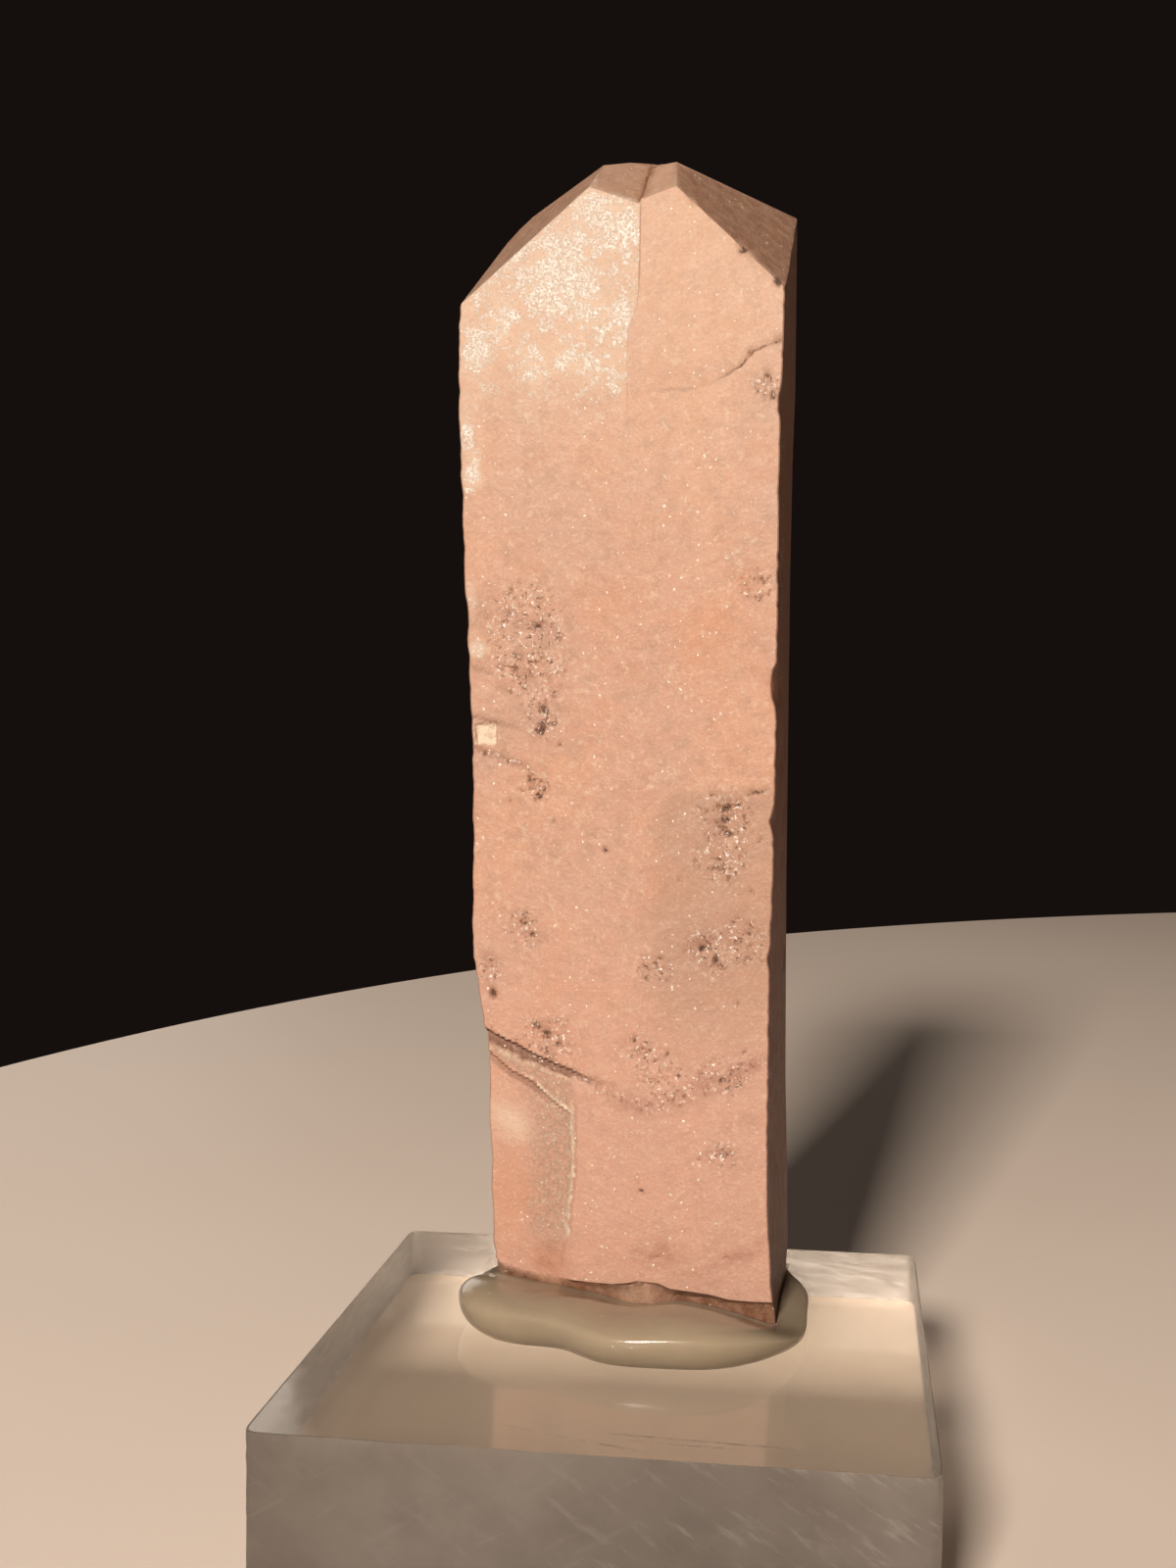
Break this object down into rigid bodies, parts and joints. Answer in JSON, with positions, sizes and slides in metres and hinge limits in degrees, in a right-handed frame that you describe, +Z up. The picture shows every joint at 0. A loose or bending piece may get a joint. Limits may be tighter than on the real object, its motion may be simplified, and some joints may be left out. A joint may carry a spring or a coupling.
{
  "type": "orthoclase crystal on a display block",
  "caption": "Twinned orthoclase feldspar crystal standing upright in clear mounting putty on a small clear acrylic display block.",
  "frame": {"origin": "centre of the display block's underside", "axes": "+Z up along the crystal's length, -Y towards a viewer in front of the crystal's broad face, +X to that viewer's right"},
  "size_m": [0.04, 0.04, 0.0927],
  "materials": {
    "feldspar": "natural crystal faces, satin to pearly, with matte pits",
    "clear_putty": "soft clear mounting putty with a glossy skin",
    "clear_acrylic": "polished top and underside, sawn matte sides"
  },
  "bodies": {
    "root": {"crystal": "feldspar", "putty_pad": "clear_putty", "display_block": "clear_acrylic"}
  },
  "joints": []
}
